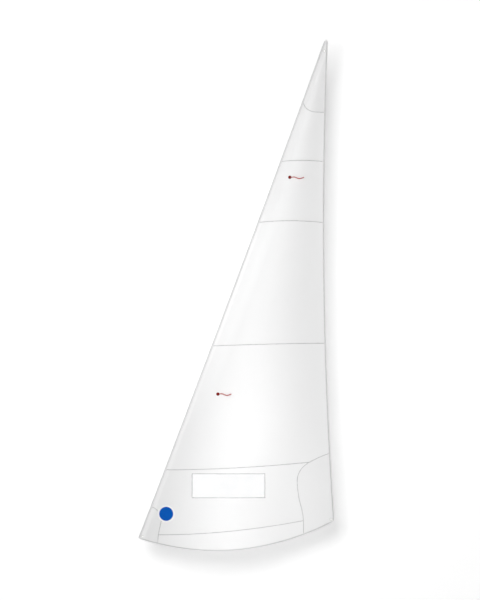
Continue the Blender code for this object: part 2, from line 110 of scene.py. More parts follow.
def camber(plan):
    # depth times width times share (1 - share)^power, scaled to 1 at the draft, faded out near the clew eye
    # the way from the flat luff starts as a parabola, so that cloth turns there over the width luffSoft
    past = plan @ luffSide - sail["flatLuff"] + sail["luffSoft"] / 2
    turning = np.clip(past, 0, sail["luffSoft"])
    fromLuff = turning**2 / (2 * sail["luffSoft"]) + np.maximum(past - sail["luffSoft"], 0)
    fromLeech = np.maximum(leechAft(plan[..., 1]) - plan[..., 0], 0)
    width = np.maximum(fromLuff + fromLeech, 1e-6)
    up = np.clip(plan[..., 1] / headLuff[1], 0, 1)
    depth = sail["depthFoot"] + (sail["depthHead"] - sail["depthFoot"]) * up
    draft = sail["draftFoot"] + (sail["draftHead"] - sail["draftFoot"]) * up
    power = (1 - draft) / draft
    share = fromLuff / width
    bulge = share * (1 - share) ** power / (draft * (1 - draft) ** power)
    away = np.linalg.norm(plan - np.array(sail["clewEye"]), axis=-1)
    return -depth * width * bulge * eased(np.clip((away - sail["clewFlat"]) / sail["clewFade"], 0, 1))


def placed(plan, fromMiddle):
    # plan places as places of the model, at a distance to starboard of the sail's middle plane
    y = camber(plan) + fromMiddle
    return pack(plan[..., 0] - sail["origin"][0], y, plan[..., 1] - sail["origin"][1])


def layerMiddle(layer):
    return (layer - 0.5) * cloth["pitch"]


# Curves of the plan, with the sail on their left
def bowed(start, end, bow, reach=0.04, steps=240):
    # a parabola that bows to the right of its way and goes on past both ends by reach, a share of its length
    t = np.linspace(-reach, 1 + reach, steps + 1)[:, None]
    along = end - start
    aside = np.array([along[1], -along[0]]) / np.hypot(*along)
    return start + along * t + aside * 4 * bow * t * (1 - t)


def wayOf(points):
    # the direction at each point of a row, one long
    return unit(np.gradient(points, axis=0))


def leftOf(curve):
    way = wayOf(curve)
    return pack(-way[:, 1], way[:, 0])


def inset(curve, distance):
    # each point moved square to the curve, to its left
    return curve + distance * leftOf(curve)


def cross(a, b):
    return a[..., 0] * b[..., 1] - a[..., 1] * b[..., 0]


def crossing(first, second):
    # how far along each of two curves they meet, counted in points: every stretch is set against every other,
    # and those that run side by side are left out
    a, b = np.diff(first, axis=0)[:, None], np.diff(second, axis=0)[None]
    apart = second[None, :-1] - first[:-1, None]
    area = cross(a, b)
    area = np.where(np.abs(area) < 1e-14, np.nan, area)
    u, v = cross(apart, b) / area, cross(apart, a) / area
    i, j = np.argwhere((u >= 0) & (u <= 1) & (v >= 0) & (v <= 1))[0]
    return i + u[i, j], j + v[i, j]


def between(curve, first, second):
    return crossing(curve, first)[0], crossing(curve, second)[0]


def at(curve, places):
    # points of a curve at places counted in points
    steps = np.arange(len(curve))
    return pack(*(np.interp(places, steps, along) for along in curve.T))


def placeAt(curve, axis, value):
    # the place where a curve that goes one way along an axis reaches a value
    along, steps = curve[:, axis], np.arange(len(curve))
    if along[0] > along[-1]:
        along, steps = along[::-1], steps[::-1]
    return float(np.interp(value, along, steps))


def atHeight(curve, up):
    return at(curve, placeAt(curve, 1, up))


def lengthsOf(points):
    return np.concatenate(([0.0], np.cumsum(np.linalg.norm(np.diff(points, axis=0), axis=1))))


def further(curve, place, distance):
    # the place a distance further along a curve
    lengths, steps = lengthsOf(curve), np.arange(len(curve))
    return float(np.interp(np.interp(place, steps, lengths) + distance, lengths, steps))


samples = 400  # points on which a curve's length is measured


def spread(curve, start, end, shares):
    # places between start and end at shares of the curve's length, or as many even ones as shares says
    shares = np.linspace(0, 1, shares) if np.ndim(shares) == 0 else shares
    places = np.linspace(start, end, samples)
    lengths = lengthsOf(at(curve, places))
    return np.interp(shares * lengths[-1], lengths, places)


def stretch(curve, start, end, shares):
    return at(curve, spread(curve, start, end, shares))


def smooth(points, steps=12):
    # a Catmull-Rom curve through the points, with straight ends
    points = np.array(points, float)
    p = np.concatenate(([2 * points[0] - points[1]], points, [2 * points[-1] - points[-2]]))
    a, b, c, d = (p[k:len(p) - 3 + k, None] for k in range(4))
    t = np.linspace(0, 1, steps, endpoint=False)[None, :, None]
    curve = (2 * b + (c - a) * t + (2 * a - 5 * b + 4 * c - d) * t**2 + (3 * b - a - 3 * c + d) * t**3) / 2
    return np.concatenate((curve.reshape(-1, 2), points[-1:]))


foot = bowed(tack, clew, sail["footRound"])
leech = bowed(clew, headLeech, -sail["leechHollow"])
head = bowed(headLeech, headLuff, sail["headRound"], reach=0.25)
luff = bowed(headLuff, tack, -sail["luffHollow"])
clothLuff = inset(luff, cloth["luffIn"])
clothFoot, clothLeech, clothHead = (inset(curve, cloth["edgeIn"]) for curve in (foot, leech, head))

# Seams from the head down: height at the luff, height at the leech and upward bow
seams = {
    "head": (2.827, 2.827, 0.009),
    "upper": (2.370, 2.369, 0.014),
    "middle": (1.444, 1.465, 0.004),
    "lower": (0.5145, 0.589, -0.0155),
    "foot": (0.029, 0.181, -0.043),
}
seamLap = 0.012


def seamLine(name, shift=0.0):
    # a seam from luff to leech, moved up by shift
    luffUp, leechUp, bow = seams[name]
    return bowed(atHeight(luff, luffUp), atHeight(leech, leechUp), -bow, reach=0.06) + np.array([0.0, shift])


# Patch edges pass through these points, counted from their corner; head, tack and clew give columns and rows
patches = {
    "head": (45, 31), "tack": (65, 49), "clew": (49, 29),
    "headPoints": (
        (-0.197, -0.452), (-0.1715, -0.501), (-0.1505, -0.522), (-0.1195, -0.5355), (-0.0875, -0.540),
    ),
    "headLeech": 0.542,
    "tackPoints": (
        (0.131, 0.2255), (0.150, 0.2065), (0.177, 0.150), (0.164, 0.071), (0.156, 0.032), (0.1525, -0.0105),
    ),
    "tackLuff": 0.2455,
    "clewPoints": (
        (-0.101, 0.4885), (-0.187, 0.4455), (-0.2465, 0.399), (-0.2785, 0.3335), (-0.2795, 0.257),
        (-0.2655, 0.159), (-0.2465, 0.084), (-0.235, 0.006), (-0.235, -0.106),
    ),
    "clewLeech": 0.5135,
    "reach": 0.08,
}
below = np.array([0.0, patches["reach"]])


def tackEdge():
    start, inner = atHeight(luff, patches["tackLuff"]), np.array(patches["tackPoints"])
    outside = start - luffSide * patches["reach"] / 4
    return smooth([outside, start, *inner, inner[-1] - below])[::-1]


def clewEdge():
    start, inner = atHeight(leech, clew[1] + patches["clewLeech"]), clew + np.array(patches["clewPoints"])
    return smooth([start + (start - inner[0]) / 2, start, *inner, inner[-1] - below])


def headEdge():
    end = atHeight(leech, headLeech[1] - patches["headLeech"])
    inner = headLeech + np.array(patches["headPoints"])
    return smooth([2 * inner[0] - inner[1], *inner, end, end + np.array([patches["reach"] / 2, 0.0])])


# Shader sums
class Wire:
    # a shader socket that takes part in Python sums
    def __init__(self, finish, socket):
        self.finish, self.socket = finish, socket

    def __add__(self, other):
        return self.finish.maths("ADD", self, other)

    def __mul__(self, other):
        return self.finish.maths("MULTIPLY", self, other)

    def __sub__(self, other):
        return self.finish.maths("SUBTRACT", self, other)

    def __rsub__(self, other):
        return self.finish.maths("SUBTRACT", other, self)

    def __pow__(self, other):
        return self.finish.maths("POWER", self, other)

    __radd__, __rmul__ = __add__, __mul__


class Finish:
    # a material, or the world, whose nodes are added one by one
    def __init__(self, owner):
        owner.use_nodes = True
        self.owner, self.tree = owner, owner.node_tree

    def node(self, kind, settings=None, sockets=None, output=0):
        made = self.tree.nodes.new(kind)
        for key, value in (settings or {}).items():
            setattr(made, key, value)
        for key, value in (sockets or {}).items():
            self.plug(made.inputs[key], value)
        return Wire(self, made.outputs[output])

    def outputs(self, kind, keys, sockets=None):
        # several outputs of one node
        made = self.node(kind, {}, sockets).socket.node
        return [Wire(self, made.outputs[key]) for key in keys]

    def plug(self, socket, value):
        if isinstance(value, Wire):
            self.tree.links.new(value.socket, socket)
        else:
            socket.default_value = value

    def maths(self, operation, *values):
        return self.node("ShaderNodeMath", {"operation": operation}, dict(enumerate(values)))

    def step(self, value, none, full):
        # climbs in a straight line from 0 at the first number to 1 at the second, and is level past both
        ranges = {"Value": value, "From Min": none, "From Max": full, "To Min": 0.0, "To Max": 1.0}
        return self.node("ShaderNodeMapRange", {"clamp": True}, ranges)

    def blend(self, factor, first, second):
        first, second = (colour if isinstance(colour, Wire) else (*colour, 1.0) for colour in (first, second))
        return self.node("ShaderNodeMix", {"data_type": "RGBA"}, {0: factor, 6: first, 7: second}, 2)

    def parts(self, vector):
        return self.outputs("ShaderNodeSeparateXYZ", range(3), {0: vector})


class Surface(Finish):
    # a material with one main shader, constant numbers on its own sockets, and its piece's flat places
    def __init__(self, name, **numbers):
        super().__init__(bpy.data.materials.new(name))
        self.shader = self.tree.nodes["Principled BSDF"]
        for key, value in numbers.items():
            self.set(key.replace("_", " ").title().replace("Ior", "IOR"), value)
        self.flat = self.node("ShaderNodeUVMap", {"uv_map": "flat"})

    def set(self, key, value):
        self.plug(self.shader.inputs[key], value)

    def noise(self, scale, detail, drawn=None):
        # drawn says how much finer the noise is along u and along v
        place = self.flat
        if drawn:
            place = self.node("ShaderNodeVectorMath", {"operation": "MULTIPLY"}, {0: place, 1: (*drawn, 1.0)})
        sockets = {"Scale": scale, "Detail": detail, "Vector": place}
        return self.node("ShaderNodeTexNoise", {"noise_dimensions": "3D"}, sockets)

    def bump(self, height, distance, strength, under=None):
        sockets = {"Height": height, "Distance": distance, "Strength": strength}
        if under is not None:
            sockets["Normal"] = under
        return self.node("ShaderNodeBump", {}, sockets)

    def paint(self, colour, normal, roughness=None):
        # joins what varies and gives the finished material
        self.set("Base Color", colour)
        self.set("Normal", normal)
        if roughness is not None:
            self.set("Roughness", roughness)
        return self.owner


def grey(shade):
    return shade, shade, shade


cloths = {
    "sailcloth": {"shade": 0.925, "roughness": 0.58, "thread": 0.00045, "slub": 0.035, "crinkle": 0.0006},
    "patchCloth": {"shade": 0.905, "roughness": 0.55, "thread": 0.00050, "slub": 0.035, "crinkle": 0.0004},
    "tapeCloth": {"shade": 0.88, "roughness": 0.60, "thread": 0.00060, "slub": 0.05, "crinkle": 0.0003},
}
clothNoise = {"alongThread": 6.0, "acrossThread": 900.0, "clouds": 2.2, "crinkles": 9.0}
foldGrey = {"grey": 0.60, "full": 0.0060, "gone": 0.0085, "wobble": 0.0015}
# painted light and shade beside the luff, paler in its middle and greyer at its ends: a height on the sail,
# how far from it the painted tone is nothing and full, and how far from the luff it is full and nothing
luffPaintedShading = (
    {"grey": 0.972, "height": 1.75, "none": 0.85, "full": 0.35, "fullTo": 0.105, "noneFrom": 0.165},
    {"grey": 0.885, "height": 1.95, "none": 0.30, "full": 0.75, "fullTo": 0.033, "noneFrom": 0.053},
)


def greyFold(made, shown, _, v, slubs, cloudy):
    # a tape is greyed along its fold, which is where v is nothing; this darkens the line at the sail's edge
    away = made.maths("ABSOLUTE", v) + foldGrey["wobble"] * cloudy
    greyMask = 1 - made.step(away, foldGrey["full"], foldGrey["gone"])
    return made.blend(greyMask * (0.85 + 0.3 * (slubs - 0.5)), shown, grey(foldGrey["grey"]))


def paintedLuffShading(made, shown, u, v, *_):
    # painted light beside the middle of the luff and painted shade beside its ends
    # the way from the luff is a sum of the plan's places
    fromLuff = u * float(luffSide[0]) + v * float(luffSide[1])
    for paintedTone in luffPaintedShading:
        beside = made.step(fromLuff, paintedTone["noneFrom"], paintedTone["fullTo"])
        near = made.step(made.maths("ABSOLUTE", v - paintedTone["height"]), paintedTone["none"], paintedTone["full"])
        shown = made.blend(beside * near, shown, grey(paintedTone["grey"]))
    return shown


def wovenCloth(name, toned=None):
    # plain weave: the product of two sines goes over and under; slubs are noise drawn out along warp and weft
    look = cloths[name]
    made = Surface(name, sheen_weight=0.08, sheen_roughness=0.4, specular_ior_level=0.3)
    u, v, _ = made.parts(made.flat)
    turn = math.pi / look["thread"]
    weave = made.maths("SINE", u * turn) * made.maths("SINE", v * turn)
    along, across = clothNoise["alongThread"], clothNoise["acrossThread"]
    slubs = made.noise(1.0, 3.0, (along, across)) * 0.5 + made.noise(1.0, 3.0, (across, along)) * 0.5
    cloudy = made.noise(clothNoise["clouds"], 2.0)
    shade = made.step(slubs * 0.75 + cloudy * 0.25, 0.30, 0.70)
    shown = made.blend(shade, grey(look["shade"] * (1 - look["slub"])), grey(look["shade"]))
    # the hook greys a tape's fold on the tapes, and on the sailcloth it paints light and shade beside the
    # luff
    if toned:
        shown = toned(made, shown, u, v, slubs, cloudy)
    crinkled = made.bump(made.noise(clothNoise["crinkles"], 2.0), look["crinkle"], 0.6)
    woven = made.bump(weave * 0.5 + slubs, look["thread"] * 0.12, 0.5, crinkled)
    return made.paint(shown, woven, look["roughness"] + 0.10 * (slubs - 0.5))


# the sailcloth gets painted light and shade beside its luff
sailcloth, patchCloth = wovenCloth("sailcloth", paintedLuffShading), wovenCloth("patchCloth")
tapeCloth = wovenCloth("tapeCloth", greyFold)
print("cloth finishes ready")


def windowFilm():
    # clear and glossy, with a faint haze of rubbed patches
    made = Surface("windowFilm", transmission_weight=1.0, ior=1.12, specular_ior_level=0.5)
    greyMask = made.step(made.noise(14.0, 4.0), 0.45, 0.75)
    tinted = made.blend(greyMask, (0.995, 0.997, 1.0), (0.975, 0.982, 0.988))
    return made.paint(tinted, made.bump(made.noise(5.0, 1.0), 0.0015, 0.3), 0.02 + 0.05 * greyMask)


def eyeletMetal():
    # pressed stainless steel, with fine rings of polishing and small scratches
    made = Surface("eyeletMetal", metallic=1.0)
    rings = made.noise(1.0, 2.0, (90.0, 5200.0))
    toned = made.step(made.noise(420.0, 3.0), 0.45, 0.7)
    shown = made.blend(toned, (0.76, 0.76, 0.74), (0.62, 0.62, 0.60))
    return made.paint(shown, made.bump(rings, 0.00004, 0.6), 0.20 + 0.16 * rings + 0.10 * toned)


# turns of the strands in radians per metre, round the line and along it
lineStrands = {"around": 2000.0, "along": 1600.0}


def braid(name, colour, dark):
    # two sets of strands that cross: sines of the way along plus and minus the way round
    made = Surface(name, roughness=0.75)
    u, v, _ = made.parts(made.flat)
    along, around = u * lineStrands["along"], v * lineStrands["around"]
    strands = made.maths("MAXIMUM", made.maths("SINE", along + around), made.maths("SINE", along - around))
    shown = made.blend(made.step(strands, -0.2, 0.9), dark, colour)
    return made.paint(shown, made.bump(strands, 0.0002, 0.8))


def wool(name, colour, dark):
    # fibres lie along the twist; their noise is drawn out along the yarn
    made = Surface(name, roughness=0.92, specular_ior_level=0.15, sheen_weight=0.02, sheen_roughness=0.5)
    fibres = made.noise(1.0, 4.0, (1400.0, 5200.0))
    return made.paint(made.blend(made.step(fibres, 0.3, 0.7), dark, colour), made.bump(fibres, 0.00025, 0.9))


# radians per metre: threads 0.4 mm apart, and a heavy one every 3 mm
dotThreads = {"fine": math.pi / 0.0004, "heavy": 2094.0}


def dotCloth(name, colour, dark):
    # sticky-backed ripstop: a fine weave with a heavier thread every few millimetres
    made = Surface(name, roughness=0.5, specular_ior_level=0.2, sheen_weight=0.02)
    u, v, _ = made.parts(made.flat)
    fine = made.maths("SINE", u * dotThreads["fine"]) * made.maths("SINE", v * dotThreads["fine"])
    heavy = (made.maths("SINE", place * dotThreads["heavy"]) for place in (u, v))
    ribs = made.step(made.maths("MAXIMUM", *heavy), 0.90, 1.0)
    shown = made.blend(ribs * 0.6 + made.noise(300.0, 2.0) * 0.4, colour, dark)
    return made.paint(shown, made.bump(fine * 0.3 + ribs, 0.00008, 0.7))


threadTwist = {"along": 9000.0, "around": 5200.0}


def threadFinish(name, colour, dark):
    # twisted plies: a sine of the way along and the way round
    made = Surface(name, roughness=0.6, sheen_weight=0.2)
    u, v, _ = made.parts(made.flat)
    twist = made.maths("SINE", u * threadTwist["along"] + v * threadTwist["around"])
    return made.paint(made.blend(made.step(twist, -1.0, 1.0), dark, colour), made.bump(twist, 0.00006, 0.6))


sticker = {"across": 0.129, "blue": 0.105, "blur": 0.0001, "place": (0.2115, 0.186), "rings": 10, "steps": 96}


def stickerFilm():
    # printed film: matt blue inside a radius and glossy white outside it, with a slight orange peel
    made = Surface("stickerFilm", specular_ior_level=0.08, coat_roughness=0.12)
    u, v, _ = made.parts(made.flat)
    radius = (u * u + v * v) ** 0.5
    rim = made.step(radius, sticker["blue"] / 2 - sticker["blur"], sticker["blue"] / 2 + sticker["blur"])
    ink = made.blend(made.noise(60.0, 3.0), (0.0005, 0.092, 0.450), (0.0015, 0.110, 0.520))
    made.set("Coat Weight", 0.05 + 0.6 * rim)
    peel = made.bump(made.noise(700.0, 2.0), 0.00005, 0.4)
    return made.paint(made.blend(rim, ink, (0.98, 0.98, 0.98)), peel, 0.26 + 0.12 * made.noise(40.0, 3.0))


film, metal, stickerFinish = windowFilm(), eyeletMetal(), stickerFilm()
green, darkGreen = (0.015, 0.20, 0.06), (0.008, 0.11, 0.035)
thread = threadFinish("stitchThread", (0.075, 0.075, 0.08), (0.045, 0.045, 0.05))
tapeThread = threadFinish("tapeThread", (0.62, 0.62, 0.62), (0.48, 0.48, 0.48))
lineBraid = braid("luffLineBraid", (0.78, 0.79, 0.81), (0.45, 0.46, 0.48))
dotFinish = {
    "port": dotCloth("dotRed", (0.205, 0.006, 0.003), (0.14, 0.004, 0.002)),
    "starboard": dotCloth("dotGreen", green, darkGreen),
}
yarnFinish = {
    "port": wool("yarnRed", (0.54, 0.014, 0.010), (0.35, 0.007, 0.005)),
    "starboard": wool("yarnGreen", green, darkGreen),
}
print("other finishes ready")


# Meshes
sharp = math.radians(40)  # edges that turn by more than this are shaded as edges


def addObject(name, data):
    made = bpy.data.objects.new(name, data)
    bpy.context.scene.collection.objects.link(made)
    return made


def addMesh(name, points, faces, uv, material, slot, body="sail", turn=True):
    # closed meshes whose volume comes out negative are turned inside out
    if turn:
        a, b, c = points[np.array([f[:3] for f in faces]).T]
        if np.sum(a * np.cross(b, c)) < 0:
            faces = [f[::-1] for f in faces]
    mesh = bpy.data.meshes.new(name)
    mesh.from_pydata(points.tolist(), [], faces)
    corners = np.empty(len(mesh.loops), np.int32)
    mesh.loops.foreach_get("vertex_index", corners)
    layer = mesh.uv_layers.new(name="flat")
    layer.data.foreach_set("uv", uv[corners].astype(np.float32).ravel())
    mesh.materials.append(material)
    mesh.shade_smooth()
    mesh.set_sharp_from_angle(angle=sharp)
    piece = addObject(name, mesh)
    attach(piece, body)
    return piece


def gridFaces(rows, columns, wrapRows=False, wrapColumns=False):
    # quads of a grid whose points are numbered row by row; a wrapped side joins its end to its start
    r, c = np.arange(rows - (not wrapRows)), np.arange(columns - (not wrapColumns))
    r, c = r[:, None], c[None]
    up, on = (r + 1) % rows * columns, (c + 1) % columns
    return pack(r * columns + c, r * columns + on, up + on, up + c).reshape(-1, 4)


def rimOf(faces):
    # the edges that only one face has, in that face's order
    pairs = np.concatenate([pack(f.T, np.roll(f.T, -1, axis=0)).reshape(-1, 2) for f in faces])
    _, back, times = np.unique(np.sort(pairs, axis=1), axis=0, return_inverse=True, return_counts=True)
    return pairs[times[back.ravel()] == 1]


def areaOf(plan, faces):
    # the sum of the flat faces
    corners = [plan[f] for f in faces]
    return float(sum(0.5 * np.sum(cross(q, np.roll(q, -1, axis=1))) for q in corners))


def coons(bottom, top, left, right):
    # ruled both ways between four sides, less the surface through the corners that both ways share
    u = (lengthsOf(bottom) / lengthsOf(bottom)[-1])[None, :, None]
    v = np.linspace(0, 1, len(left))[:, None, None]
    ruled = (1 - v) * bottom[None] + v * top[None] + (1 - u) * left[:, None] + u * right[:, None]
    shared = (1 - u) * ((1 - v) * bottom[0] + v * top[0]) + u * ((1 - v) * bottom[-1] + v * top[-1])
    return ruled - shared


def meshOf(grid):
    return grid.reshape(-1, 2), [gridFaces(*grid.shape[:2])]


# Corner holes, cut for good
hole = {"across": 0.0122, "depth": 0.01, "steps": 48}


def eyeOf(corner):
    # the middle of an eyelet, in the sail's middle plane
    middle = np.mean([tuple(end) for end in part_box(corner + "_eyelet")], axis=0)
    return middle * (1, 0, 1)


eyes = {corner: eyeOf(corner) for corner in ("tack", "clew", "head")}
print("eyelets at", {corner: eye.round(4).tolist() for corner, eye in eyes.items()})


def drill(piece, corners):
    # takes a round bar out of the piece at each corner named
    steps, radius = hole["steps"], hole["across"] / 2
    turns = turnsOf(steps)
    for corner in corners:
        x, y, z = eyes[corner]
        rings = [
            pack(x + np.cos(turns) * radius, np.full(steps, y + side), z + np.sin(turns) * radius)
            for side in (-hole["depth"], hole["depth"])
        ]
        bar = bpy.data.meshes.new("bar")
        faces = gridFaces(2, steps, wrapColumns=True)[:, ::-1].tolist()
        faces += [list(range(steps)), list(range(2 * steps - 1, steps - 1, -1))]
        bar.from_pydata(np.concatenate(rings).tolist(), [], faces)
        tool = addObject("bar", bar)
        cut = piece.modifiers.new("hole", "BOOLEAN")
        cut.operation, cut.solver, cut.object = "DIFFERENCE", "EXACT", tool
        bpy.context.view_layer.update()
        drilled = bpy.data.meshes.new_from_object(piece.evaluated_get(bpy.context.evaluated_depsgraph_get()))
        piece.modifiers.clear()
        drilled.name = piece.name
        drilled.set_sharp_from_angle(angle=sharp)
        piece.data = drilled
        bpy.data.objects.remove(tool)


def layCloth(node, ending, plan, faces, layer, material, slot, restsOn, corners=(), uv=None, proud=0.0):
    # one side of the cloth, the other side a thickness away, and a rim that joins them
    half, middle = cloth["thickness"] / 2, layerMiddle(layer) + proud
    points = np.concatenate((placed(plan, middle - half), placed(plan, middle + half)))
    (first, last), count = rimOf(faces).T, len(plan)
    sides = [f for part in faces for f in part.tolist()]
    sides += [f[::-1] for part in faces for f in (part + count).tolist()]
    sides += pack(last, first, first + count, last + count).tolist()
    uv = plan if uv is None else uv
    piece = addMesh(node + ending, points, sides, np.concatenate((uv, uv)), material, slot, turn=False)
    drill(piece, corners)
    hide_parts(node)
    flat = tuple(float(size) for size in np.ptp(plan, axis=0))
    areaOf(plan, faces)


# Panels, from the head down. Neighbours lie in layers 0 and 1 and lap at each seam
def columnShares(width, evenCells):
    # small cells where the cloth turns beside the luff, and even ones after them
    fine = np.arange(cloth["fineFrom"], cloth["fineTo"], cloth["fineCell"])
    even = np.linspace(fine[-1], width, evenCells + 1)[1:]
    return np.concatenate(([0.0, fine[0] / 2], fine, even)) / width


def cutMesh(bottom, top, lowShares, highShares, rows):
    # cloth between two curves, cut where they meet its luff and leech
    (lowLuff, lowLeech), (highLuff, highLeech) = (
        [crossing(curve, edge) for edge in (clothLuff, clothLeech)] for curve in (bottom, top)
    )
    return meshOf(coons(
        stretch(bottom, lowLuff[0], lowLeech[0], lowShares),
        stretch(top, highLuff[0], highLeech[0], highShares),
        stretch(clothLuff, lowLuff[1], highLuff[1], rows),
        stretch(clothLeech, lowLeech[1], highLeech[1], rows),
    ))


def layPanel(name, plan, faces, layer, corners=(), restsOn="luff_tape_folded"):
    layCloth(name, "_sailcloth", plan, faces, layer, sailcloth, "sailcloth", restsOn, corners)


def addPanel(name, bottom, top, layer, corners=()):
    # cells of one size all over, and closer even columns in a panel that narrows to a point
    low, high = (at(curve, between(curve, clothLuff, clothLeech)) for curve in (bottom, top))
    widths = low[1, 0] - low[0, 0], high[1, 0] - high[0, 0]
    evenCells = int(widths[0] / cloth["cell"])
    rows = max(int((high[0, 1] - low[0, 1]) / cloth["cell"]), cloth["leastRows"]) + 1
    if widths[1] < cloth["narrow"]:
        shares = [4 * evenCells + 1] * 2
    else:
        shares = [columnShares(width, evenCells) for width in widths]
    layPanel(name, *cutMesh(bottom, top, *shares, rows), layer, corners)


lap = seamLap / 2
addPanel("head_panel", seamLine("head", -lap), clothHead[::-1], 0, ("head",))
addPanel("upper_panel", seamLine("upper", -lap), seamLine("head", lap), 1)
addPanel("upper_middle_panel", seamLine("middle", -lap), seamLine("upper", lap), 0)
addPanel("lower_middle_panel", seamLine("lower", -lap), seamLine("middle", lap), 1)
# the foot seam meets luff and leech close to the corners, so the foot's own curve is the bottom side
footShares = columnShares(sail["footLength"], cloth["footColumns"])
footMesh = cutMesh(clothFoot, seamLine("foot", lap), footShares, footShares, cloth["footRows"])
layPanel("foot_panel", *footMesh, 1, ("tack", "clew"), "foot_tape_folded")

# cells across and up, by blocks; the first block across has fine columns as well
window = {
    "length": 0.538, "height": 0.1725, "aft": 0.6785, "up": 0.397, "lap": 0.012,
    "across": (14, 28, 31), "upward": (9, 10, 8), "filmCells": (30, 12), "stitchOut": 0.0035,
}


def windowPanel():
    # nine blocks round the opening, each ruled between its sides; the middle one is left out
    bottom, top = seamLine("foot", -lap), seamLine("lower", lap)
    half = np.array([-0.5, 0.5])
    opening = window["aft"] + half * window["length"], window["up"] + half * window["height"]
    fineColumns = len(columnShares(1.0, 0)) - 1
    across, upward = (window["across"][0] + fineColumns, *window["across"][1:]), window["upward"]

    def cuts(curve, axis, first, last):
        # a side of the panel and the places on it where blocks meet
        inner = (placeAt(curve, axis, value) for value in opening[axis])
        return curve, (crossing(curve, first)[0], *inner, crossing(curve, last)[0])

    lines = [cuts(curve, 0, clothLuff, clothLeech) for curve in (bottom, top)]
    edges = [cuts(curve, 1, bottom, top) for curve in (clothLuff, clothLeech)]
    corner = np.zeros((4, 4, 2))
    corner[1:3, 1:3] = pack(*np.meshgrid(*opening, indexing="ij"))
    for k in (0, 1):
        corner[:, 3 * k], corner[3 * k] = at(*lines[k]), at(*edges[k])

    def sideOf(ends, borders, border, block, shares):
        # straight between two corners of a block, or along a border of the panel
        if border in (0, 3):
            curve, places = borders[border // 3]
            return stretch(curve, places[block], places[block + 1], shares)
        return stretch(ends, 0, 1, shares)

    def acrossSide(i, j):
        width = np.linalg.norm(corner[1, j] - corner[0, j])
        shares = columnShares(width, window["across"][0]) if i == 0 else across[i] + 1
        return sideOf(corner[i:i + 2, j], lines, j, i, shares)

    def upSide(i, j):
        return sideOf(corner[i, j:j + 2], edges, i, j, upward[j] + 1)

    grid = np.zeros((sum(upward) + 1, sum(across) + 1, 2))
    starts, rises = (np.cumsum((0, *cells)) for cells in (across, upward))
    for i in range(3):
        for j in range(3):
            block = coons(acrossSide(i, j), acrossSide(i, j + 1), upSide(i, j), upSide(i + 1, j))
            grid[rises[j]:rises[j + 1] + 1, starts[i]:starts[i + 1] + 1] = block
    plan, (faces,) = meshOf(grid)
    row, column = np.divmod(faces[:, 0], grid.shape[1])
    inside = (row >= rises[1]) & (row < rises[2]) & (column >= starts[1]) & (column < starts[2])
    used, faces = np.unique(faces[~inside], return_inverse=True)
    layPanel("window_panel", plan[used], [faces.reshape(-1, 4)], 0)


def windowSheet():
    # a rectangle a lap larger than its opening
    sizes = [window[side] + 2 * window["lap"] for side in ("length", "height")]
    x, z = (
        np.linspace(-0.5, 0.5, cells + 1) * size + middle
        for cells, size, middle in zip(window["filmCells"], sizes, (window["aft"], window["up"]))
    )
    sheet = meshOf(pack(*np.meshgrid(x, z)))
    layCloth("window_film", "_clear", *sheet, 1, film, "window_film", "window_panel_sailcloth")


windowPanel()
windowSheet()
print("panels and window ready")


# Corner patches, one on each side of the sail
def wedge(edge, left, right):
    # ruled between a corner, two sides from it and the edge across; its first row is the corner itself
    v = np.linspace(0, 1, len(left))[:, None, None]
    u = np.linspace(0, 1, len(edge))[None, :, None]
    ruled = v * edge[None] + (1 - v) * left[0] + (1 - u) * left[:, None] + u * right[:, None]
    shared = (1 - v) * left[0] + v * ((1 - u) * edge[0] + u * edge[-1])
    plan, (quads,) = meshOf((ruled - shared)[1:])
    k = np.arange(len(edge) - 1)
    return np.concatenate((left[:1], plan)), [quads + 1, pack(0 * k, k + 1, k + 2)]


def addPatch(corner, plan, faces):
    # the same cloth on both sides of the sail; faces that go round the other way are turned
    if areaOf(plan, faces) < 0:
        faces = [f[:, ::-1] for f in faces]
    for side, layer in (("port", -1), ("starboard", 2)):
        layCloth(f"{corner}_patch_{side}", "_cloth", plan, faces, layer, patchCloth, "patch_cloth",
                 f"{corner}_eyelet_turned", (corner,))


def addWedge(corner, edge, first, second):
    # a patch between its edge and the two sides of the sail that meet in its corner
    columns, rows = patches[corner]
    onFirst, onSecond, tip = crossing(edge, first), crossing(edge, second), crossing(first, second)
    addPatch(corner, *wedge(
        stretch(edge, onFirst[0], onSecond[0], columns),
        stretch(first, tip[0], onFirst[1], rows),
        stretch(second, tip[1], onSecond[1], rows),
    ))


addWedge("tack", tackEdge(), clothFoot, clothLuff)
addWedge("clew", clewEdge(), clothLeech, clothFoot)
columns, rows = patches["head"]
addPatch("head", *cutMesh(headEdge(), clothHead, columns, columns, rows))
print("patches ready")

# Folded edge tapes
tapes = {
    "luff": 0.015, "edge": 0.012, "half": 0.00165, "nose": 0.0026, "shoulder": 0.007, "end": 0.0013,
    "gap": 0.0003, "leechCell": 0.008, "samples": 99, "nosePoints": 15,
}


def tapeSection(width, nose, shoulder):
    # a half round nose between two flat legs, as (inboard, to starboard), outer side and then inner side
    def side(half, radius):
        turn = np.linspace(np.pi / 2, 3 * np.pi / 2, tapes["nosePoints"])
        bend = pack(nose + radius * np.cos(turn), radius * np.sin(turn))
        legs = [width, shoulder] if shoulder else [width]
        upper = np.array([(x, half) for x in legs])
        return np.concatenate((upper, bend, upper[::-1] * (1, -1)))

    return side(tapes["half"], nose), side(tapes["half"] - cloth["thickness"], nose - cloth["thickness"])


